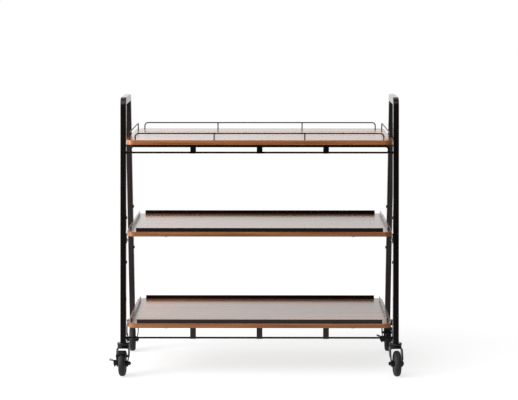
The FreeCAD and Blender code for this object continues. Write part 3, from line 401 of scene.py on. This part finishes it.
def make_walnut(name, dark, light, across, band):
    """Lacquered walnut, sliced straight: bands of lighter and darker brown, as wide as given and
    thirty times as long, streaks of 2 mm along them and short dark pores, under a satin lacquer
    that pales it at a slant. Across tells which of x, y and z run across the grain."""
    material, tree, shader = start_material(name)
    place = add_node(tree, "ShaderNodeTexCoord").outputs["Object"]

    def streaks(length, width, detail):
        """Noise drawn out along the grain: its cells are so long and so wide."""
        scale = [1 / width if crosses else 1 / length for crosses in across]
        drawn = add_node(tree, "ShaderNodeMapping", {"Vector": place, "Scale": scale})
        return add_node(tree, "ShaderNodeTexNoise", {
            "Vector": drawn.outputs["Vector"], "Scale": 1.0, "Detail": detail}).outputs["Fac"]

    bands = add_node(tree, "ShaderNodeMapRange", {
        "Value": streaks(30 * band, band, 2.0), "From Min": 0.35, "From Max": 0.65})
    lines = add_node(tree, "ShaderNodeMapRange", {
        "Value": streaks(250 * MM, 2 * MM, 3.0), "From Min": 0.3, "From Max": 0.7})
    figure = add_node(tree, "ShaderNodeMix", {
        0: 0.45, 2: bands.outputs["Result"], 3: lines.outputs["Result"]})
    colour = add_node(tree, "ShaderNodeMix", {
        0: figure.outputs[0], 6: linear(dark), 7: linear(light)}, data_type="RGBA")
    pores = add_node(tree, "ShaderNodeMapRange", {
        "Value": streaks(12 * MM, 0.4 * MM, 0.0), "From Min": 0.66, "From Max": 0.74,
        "To Max": 0.5})
    pored = add_node(tree, "ShaderNodeMix", {
        0: pores.outputs["Result"], 6: colour.outputs[2], 7: linear("#3A2418")},
        data_type="RGBA")
    tree.links.new(pored.outputs[2], shader.inputs["Base Color"])
    shader.inputs["Roughness"].default_value = 0.22
    shader.inputs["IOR"].default_value = 1.5
    return material


walnut = make_walnut("Lacquered walnut veneer", "#6C4129", "#A87049",
                     across=(False, True, True), band=30 * MM)

for level, dark, light in BAND_TONES_WITH_PAINTED_LIGHT:
    # each board's band in its own tone, painted lighter or darker for the light that board gets
    walnut_band = make_walnut(f"Lacquered walnut edge band, {level} board", dark, light,
                              across=(False, False, True), band=9 * MM)
    low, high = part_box(level + "_shelf")
    rows = eased_rows(low.z, high.z, SHELF_EDGE, SHELF_MARGIN)
    shell = slab(low, high, SHELF_CORNER, rows, CORNER_STEPS)
    around = 4 * (CORNER_STEPS + 1)
    banded = np.zeros(len(shell[1]), int)
    banded[around * VENEER_ROWS:around * (len(rows) - 1 - VENEER_ROWS)] = 1
    add_piece(level + "_board", shell, [walnut, walnut_band], "chassis",
              [level + "_shelf"], face_material=banded)


# ---- Lips ----------------------------------------------------------------------------------
# Flat bars, 12.5 x 5 mm, stood on edge along all four sides of the two lower shelves and held
# by screws from below. Their ends and upper rims are rounded. Steel, powder coated.

LIP_CORNER = 2 * MM
LIP_EDGE = 0.6 * MM
LIP_MARGIN = 0.2 * MM
LIP_CORNER_STEPS = 6

for level in ("middle", "bottom"):
    for end in ("front", "rear", "left", "right"):
        node = f"{level}_{end}_lip"
        low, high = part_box(node)
        rows = eased_rows(low.z, high.z, LIP_EDGE, LIP_MARGIN, below=False)
        add_piece(node + "_bar", slab(low, high, LIP_CORNER, rows, LIP_CORNER_STEPS),
                  [powder_coat], "chassis", [node])


# ---- Gallery rails -------------------------------------------------------------------------
# Steel wire, 4.2 mm, bent down at both ends and pressed into the top shelf. The long rails
# have two more posts welded under them. Powder coated.

WIRE_RADIUS = 2.1 * MM
WIRE_BEND = 12 * MM
WIRE_SUNK = 3 * MM             # how far the feet are drawn into the shelf
POST_OFFSET = 154 * MM         # of an inner post from the rail's middle
POST_END = 1.6 * MM            # under the wire's centre line, so inside the wire
POST_STEPS = np.array([4.4, 2.4, 1.6, 0.8, 0]) * MM    # down from that end
POST_BEAD_REACH = 1.2 * MM
POST_BEAD_GROWTH = 0.5
WIRE_STEPS = 20                # points round the wire
shelf_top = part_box("top_shelf")[1].z


def join_shells(shells):
    """Several (points, faces) put together as one."""
    points, faces, start = [], [], 0
    for shell_points, shell_faces in shells:
        points.append(shell_points)
        faces += [[corner + start for corner in face] for face in shell_faces]
        start += len(shell_points)
    return np.concatenate(points), faces


def rail(node, posts):
    """The wire bent over both ends, and each post under it, whose weld bead makes it thicker
    towards its end by the factor 1 + growth x exp(-(distance / reach)^2)."""
    low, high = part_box(node)
    middle = np.array([(low.x + high.x) / 2, (low.y + high.y) / 2])
    along = np.array([1.0, 0.0]) if high.x - low.x > high.y - low.y else np.array([0.0, 1.0])
    half = max(high.x - low.x, high.y - low.y) / 2 - WIRE_RADIUS
    top, foot = high.z - WIRE_RADIUS, shelf_top - WIRE_SUNK
    across = (-along[1], along[0], 0)

    def spot(run, height):
        """The place so far along the rail from its middle, at this height."""
        return (*(middle + along * run), height)

    path = bent_line([spot(-half, foot), spot(-half, top), spot(half, top), spot(half, foot)],
                     WIRE_BEND, steps=12)
    wire = ring(WIRE_RADIUS, WIRE_STEPS)
    shells = [skin(carry(wire, path, across))]
    heights = np.concatenate([[foot], top - POST_END - POST_STEPS])
    growth = 1 + POST_BEAD_GROWTH * np.exp(-((top - POST_END - heights) / POST_BEAD_REACH) ** 2)
    for post in posts:
        line = np.array([spot(post, height) for height in heights])
        shells.append(skin(carry(wire, line, across, growth)))
    return join_shells(shells)


for end in ("front", "rear"):
    add_piece(end + "_rail_wire", rail(end + "_rail", [-POST_OFFSET, POST_OFFSET]), [thin_coat],
              "chassis", [end + "_rail"])
for end in ("left", "right"):
    add_piece(end + "_rail_wire", rail(end + "_rail", []), [thin_coat], "chassis",
              [end + "_rail"])


# ---- Casters: heads and forks --------------------------------------------------------------
# A pressed raceway cup on a threaded stem, and a fork of 3 mm plate folded over the wheel under
# a round crown. Mild steel, zinc plated and black passivated, the fork dip coated over that.

CORNERS = ("front_left", "front_right", "rear_left", "rear_right")
PRESSED_EDGE = 0.5 * MM
ZINC_CLOUD = 0.06              # how much duller or smoother the plating gets in its clouds


def make_zinc(name, colour, roughness, metallic, specular):
    """Zinc plating under a passivation that gives the colour: smooth, a little cloudy where
    the bath left it thicker, every 6 mm or so."""
    material, tree, shader = start_material(name)
    shader.inputs["Base Color"].default_value = linear(colour)
    shader.inputs["Metallic"].default_value = metallic
    shader.inputs["Specular IOR Level"].default_value = specular
    place = add_node(tree, "ShaderNodeTexCoord")
    cloud = add_node(tree, "ShaderNodeTexNoise", {
        "Vector": place.outputs["Object"], "Scale": 1 / (6 * MM), "Detail": 1.0})
    uneven = add_node(tree, "ShaderNodeMapRange", {
        "Value": cloud.outputs["Fac"], "To Min": roughness - ZINC_CLOUD,
        "To Max": roughness + ZINC_CLOUD})
    tree.links.new(uneven.outputs["Result"], shader.inputs["Roughness"])
    return material


def make_dip_coat():
    """Black dip coat on pressed steel: thin and satin, with soft streaks of light along its
    bends and dark flat sides, and a fine grain of 0.6 mm."""
    material, tree, shader = start_material("Black dip coat on pressed steel")
    shader.inputs["Base Color"].default_value = linear("#0F0E10")
    shader.inputs["Roughness"].default_value = 0.36
    shader.inputs["Specular IOR Level"].default_value = 0.26
    add_grain(tree, shader, size=0.6 * MM, depth=0.01 * MM, strength=0.3, detail=1.0)
    return material


black_zinc = make_zinc("Black passivated zinc on steel", "#0C0B0D", roughness=0.2,
                       metallic=0.0, specular=0.4)
dip_coat = make_dip_coat()

dressed_copy("caster_stems", black_zinc, PRESSED_EDGE, "caster_raceways")
for corner in CORNERS:
    dressed_copy(corner + "_fork", dip_coat, PRESSED_EDGE,
                 corner + "_pressed_fork")


# ---- Casters: wheels -----------------------------------------------------------------------
# Each turns on a hexagon bolt with a nut: a hub moulded in black nylon, and on its rim a tyre
# of dark grey rubber whose mould left a fine line round the middle of the tread. The washer
# between cup and fork is of the same nylon.

TYRE_HALF_WIDTH = 11.5 * MM
TYRE_SHOULDER = 9.5 * MM
TYRE_LIP = 1 * MM              # rounding where the rubber meets the rim
RIM_RADIUS = 33 * MM
RIM_HALF_WIDTH = 9.5 * MM
RIM_EDGE = 0.8 * MM
BARREL_RADIUS = 9.5 * MM
BARREL_HALF_LENGTH = 16.1 * MM
BARREL_EDGE = 1 * MM
WEB_HALF_WIDTH = 4 * MM
WEB_ROOT = 2.5 * MM            # the fillet between barrel and web
BORE_RADIUS = 4.05 * MM
BORE_EDGE = 0.4 * MM
LINE_HEIGHT = 0.25 * MM        # the mould's line on the tread
LINE_HALF_WIDTH = 0.5 * MM     # at its foot
LINE_CREST = 0.15 * MM         # and at its top
WHEEL_STEPS = 96
SMALL_EDGE = 0.3 * MM          # on washers, bails, rivets, bolts, screws and plugs
AXLE_EDGE = 0.35 * MM


def turn_round(outline, centre, axis):
    """An outline of (place along the axis, radius) turned once round: at angle t its points lie
    at centre + place x axis + radius x (cos t x up + sin t x side)."""
    axis, up = np.array(axis), np.array((0.0, 0.0, 1.0))
    side = np.cross(up, axis)
    angle = np.arange(WHEEL_STEPS)[:, None, None] * 2 * math.pi / WHEEL_STEPS
    rings = (np.array(centre) + outline[None, :, :1] * axis
             + outline[None, :, 1:] * (np.cos(angle) * up + np.sin(angle) * side))
    return skin(rings, loop=True)


def tyre_outline(radius):
    """Round the rubber: the mould's line on the tread, round shoulders, and lips on the rim."""
    tread = radius - LINE_HEIGHT
    half = bent_line([(LINE_HALF_WIDTH, tread), (TYRE_HALF_WIDTH, tread),
                      (TYRE_HALF_WIDTH, RIM_RADIUS), (0, RIM_RADIUS)],
                     [TYRE_SHOULDER, TYRE_LIP])[:-1]
    ridge = np.array([(-LINE_CREST, radius), (LINE_CREST, radius)])
    return np.concatenate([ridge, half, (half * [-1, 1])[::-1]])


def hub_outline():
    """Round the nylon: from the rim's middle over its cone to the barrel and into the bore, and
    back again on the other side."""
    half = bent_line([(0, RIM_RADIUS), (RIM_HALF_WIDTH, RIM_RADIUS),
                      (WEB_HALF_WIDTH, BARREL_RADIUS), (BARREL_HALF_LENGTH, BARREL_RADIUS),
                      (BARREL_HALF_LENGTH, BORE_RADIUS), (0, BORE_RADIUS)],
                     [RIM_EDGE, WEB_ROOT, BARREL_EDGE, BORE_EDGE], steps=5)[1:-1]
    return np.concatenate([half, (half * [-1, 1])[::-1]])


def make_nylon():
    """Black nylon from a mould: a touch of grey, with a fine even grain of 0.4 mm."""
    material, tree, shader = start_material("Black nylon, moulded")
    shader.inputs["Base Color"].default_value = linear("#111113")
    shader.inputs["Roughness"].default_value = 0.42
    shader.inputs["Specular IOR Level"].default_value = 0.4
    add_grain(tree, shader, size=0.4 * MM, depth=0.01 * MM, strength=0.4, detail=1.0)
    return material


def make_rubber():
    """Dark grey rubber, matt from its mould, a touch paler and darker in soft blotches of 8 mm,
    with a grain of 0.5 mm."""
    material, tree, shader = start_material("Dark grey rubber, moulded")
    place = add_node(tree, "ShaderNodeTexCoord")
    blotches = add_node(tree, "ShaderNodeTexNoise", {
        "Vector": place.outputs["Object"], "Scale": 1 / (8 * MM), "Detail": 3.0})
    colour = add_node(tree, "ShaderNodeMix", {
        0: blotches.outputs["Fac"], 6: linear("#212022"), 7: linear("#2E2D2F")},
        data_type="RGBA")
    tree.links.new(colour.outputs[2], shader.inputs["Base Color"])
    shader.inputs["Roughness"].default_value = 0.55
    shader.inputs["Specular IOR Level"].default_value = 0.35
    add_grain(tree, shader, size=0.5 * MM, depth=0.02 * MM, strength=0.4, detail=2.0)
    return material


nylon = make_nylon()
rubber = make_rubber()
dressed_copy("swivel_washers", nylon, SMALL_EDGE, "caster_washers")
hinges = {joint["child"]: joint for joint in frame["joints"]}
for corner in CORNERS:
    wheel = corner + "_wheel"
    centre, axis = hinges[wheel]["pos_m"], hinges[wheel]["axis"]
    radius = centre[2]
    add_piece(corner + "_rubber_tyre", turn_round(tyre_outline(radius), centre, axis), [rubber],
              wheel, [corner + "_tyre"])
    add_piece(corner + "_moulded_hub", turn_round(hub_outline(), centre, axis), [nylon], wheel,
              [corner + "_hub"])
    dressed_copy(corner + "_axle", black_zinc, AXLE_EDGE,
                 corner + "_axle_bolt")


# ---- Casters: brakes -----------------------------------------------------------------------
# On two casters a bail of 1.6 mm sheet turns on two rivets, its flat shoe over the tread and
# a foot lever on its left cheek, with a sleeve of pale plastic pushed on the lever's tongue.
# Sheet and rivets are black steel like the fork and its stem.


def make_vinyl():
    """Pale grey vinyl, moulded as a cap: plain, with a soft sheen."""
    material, _, shader = start_material("Pale grey vinyl sleeve")
    shader.inputs["Base Color"].default_value = linear("#B4B4B2")
    shader.inputs["Roughness"].default_value = 0.4
    return material


vinyl = make_vinyl()
for corner in ("front_left", "rear_right"):
    dressed_copy(corner + "_brake_lever", dip_coat, SMALL_EDGE,
                 corner + "_brake_bail")
    dressed_copy(corner + "_brake_rivets", black_zinc, SMALL_EDGE,
                 corner + "_bail_rivets")
    dressed_copy(corner + "_brake_pad", vinyl, 0, corner + "_sleeve")


# ---- Bolts, screws and plugs ---------------------------------------------------------------
# Bright bolts hold the brackets to the legs, black ones close the holes over and under them,
# and screws come up from below into the shelves. The plugs in the feet are black nylon.

bright_zinc = make_zinc("Bright zinc plating on steel", "#DDE2E7", roughness=0.4,
                        metallic=1.0, specular=0.5)

for node, material, slot in (
        ("bracket_bolts", bright_zinc, "zinc_plated_steel"),
        ("shelf_screws", bright_zinc, "zinc_plated_steel"),
        ("spare_hole_bolts", powder_coat, "black_powder_coat"),
        ("leg_inserts", nylon, "black_nylon")):
    dressed_copy(node, material, SMALL_EDGE, node + "_dressed")


# ---- Studio --------------------------------------------------------------------------------
# A pale floor without an edge in sight, a white room behind the table and a dimmer one before
# it, and soft lamps: the main one from the upper left, before the table. The camera stands 6 m
# before the table and looks down on it by 7 degrees.

FLOOR_REACH = 3.0
FLOOR_STEPS = 64
FLOOR_LIFT = 0.735             # glow of the paper where the camera sees it
FLOOR_MIRRORED = 0.4           # and where the coats mirror it
# The room's brightness by the direction one looks in: which part of that direction, where a
# ramp on it begins and ends, and the brightness at both.
ROOM_RAMPS = {
    "across": ("X", -0.12, 0.12, 1.45, 1.1),    # the wall behind the table, left to right
    "right": ("X", 0.2, 0.8, 1.0, 0.3),         # how far it dims on the far right
    "rise": ("Z", 0.05, 0.12, 0.88, 1.24),      # brighter just over the horizon
    "fall": ("Z", 0.14, 0.34, 0.0, 0.6),        # and what goes off again higher up
    "left": ("X", -0.3, -0.9, 0.0, 0.7)}        # the least light on the left
ROOM_BEHIND = (-0.1, 0.3)      # of the direction's Y, from before the table to behind it
ROOM_BEFORE = 0.05             # brightness before the table
ROOM_SEEN = 1.0                # and of the white that the camera sees
CAMERA_LENS = 118.6
CAMERA_PLACE = (0.0253, -6.0093, 1.3402)
CAMERA_DOWN = math.radians(7.189)
CAMERA_LEFT = math.radians(0.267)

scene = bpy.context.scene
scene.view_settings.view_transform = "Standard"


def seen_directly(tree):
    """1 for rays straight from the camera, through clear things too, and 0 for all others."""
    path = add_node(tree, "ShaderNodeLightPath")
    return add_node(tree, "ShaderNodeMath", {
        0: path.outputs["Is Camera Ray"], 1: path.outputs["Is Transmission Ray"]},
        operation="MAXIMUM").outputs[0]


def make_floor():
    """Pale matt studio paper, lifted to white for the camera so that only shadows show on it."""
    material, tree, shader = start_material("Pale studio floor")
    shader.inputs["Base Color"].default_value = linear("#A8A8A8")
    shader.inputs["Roughness"].default_value = 1.0
    shader.inputs["Specular IOR Level"].default_value = 0.0
    shader.inputs["Emission Color"].default_value = (1.0, 1.0, 1.0, 1.0)
    path = add_node(tree, "ShaderNodeLightPath")
    mirrored = add_node(tree, "ShaderNodeMath", {
        0: path.outputs["Is Glossy Ray"], 1: FLOOR_MIRRORED}, operation="MULTIPLY")
    lift = add_node(tree, "ShaderNodeMath", {
        0: seen_directly(tree), 1: FLOOR_LIFT, 2: mirrored.outputs[0]}, operation="MULTIPLY_ADD")
    tree.links.new(lift.outputs[0], shader.inputs["Emission Strength"])
    return material


def make_room():
    """The light of a white room, by its direction. Behind the table it is (rise - fall) x across
    x right: brightest a little over the horizon and to the left. It dims to almost nothing
    before the table, but never below the left ramp. The camera itself sees plain white."""
    room = bpy.data.worlds.new("studio")
    room.use_nodes = True
    tree = room.node_tree
    tree.nodes.clear()
    heading = add_node(tree, "ShaderNodeSeparateXYZ", {
        "Vector": add_node(tree, "ShaderNodeTexCoord").outputs["Generated"]})
    ramps = {}
    for name, (part, start, end, low, high) in ROOM_RAMPS.items():
        ramps[name] = add_node(tree, "ShaderNodeMapRange", {
            "Value": heading.outputs[part], "From Min": start, "From Max": end, "To Min": low,
            "To Max": high}).outputs["Result"]
    height = add_node(tree, "ShaderNodeMath", {0: ramps["rise"], 1: ramps["fall"]},
                      operation="SUBTRACT")
    wall = add_node(tree, "ShaderNodeMath", {0: ramps["across"], 1: height.outputs[0]},
                    operation="MULTIPLY")
    dimmed = add_node(tree, "ShaderNodeMath", {0: wall.outputs[0], 1: ramps["right"]},
                      operation="MULTIPLY")
    behind = add_node(tree, "ShaderNodeMapRange", {
        "Value": heading.outputs["Y"], "From Min": ROOM_BEHIND[0], "From Max": ROOM_BEHIND[1],
        "To Min": ROOM_BEFORE, "To Max": dimmed.outputs[0]})
    walls = add_node(tree, "ShaderNodeMath", {0: behind.outputs["Result"], 1: ramps["left"]},
                     operation="MAXIMUM")
    strength = add_node(tree, "ShaderNodeMix", {
        0: seen_directly(tree), 2: walls.outputs[0], 3: ROOM_SEEN})
    glow = add_node(tree, "ShaderNodeBackground", {
        "Color": (1.0, 1.0, 1.0, 1.0), "Strength": strength.outputs[0]})
    add_node(tree, "ShaderNodeOutputWorld", {"Surface": glow.outputs["Background"]})
    return room


def add_lamp(name, kind, energy, place, turned):
    """A lamp of this kind, turned by these degrees from looking straight down."""
    lamp = bpy.data.lights.new(name, kind)
    lamp.energy = energy
    item = bpy.data.objects.new(name, lamp)
    item.location = place
    item.rotation_euler = [math.radians(angle) for angle in turned]
    scene.collection.objects.link(item)
    return lamp


rim = np.column_stack([ring(FLOOR_REACH, FLOOR_STEPS), np.zeros(FLOOR_STEPS)])
floor_mesh = bpy.data.meshes.new("floor")
floor_mesh.from_pydata(rim.tolist(), [], [list(range(FLOOR_STEPS))])
floor_mesh.materials.append(make_floor())
floor = bpy.data.objects.new("floor", floor_mesh)
scene.collection.objects.link(floor)
scene.world = make_room()

overhead = add_lamp("overhead lamp", "SUN", energy=1.5, place=(0, 0, 0), turned=(40, 0, -40))
overhead.angle = math.radians(60)
window = add_lamp("window", "AREA", energy=75, place=(-3.0, -1.2, 1.3), turned=(82, 0, -68))
window.shape = "RECTANGLE"
window.size, window.size_y = 1.6, 2.4

camera_data = bpy.data.cameras.new("camera")
camera_data.sensor_width = 36.0
camera_data.lens = CAMERA_LENS
camera_data.clip_end = 1000.0
camera = bpy.data.objects.new("camera", camera_data)
scene.collection.objects.link(camera)
camera.location = CAMERA_PLACE
camera.rotation_euler = (math.pi / 2 - CAMERA_DOWN, 0, CAMERA_LEFT)
scene.camera = camera
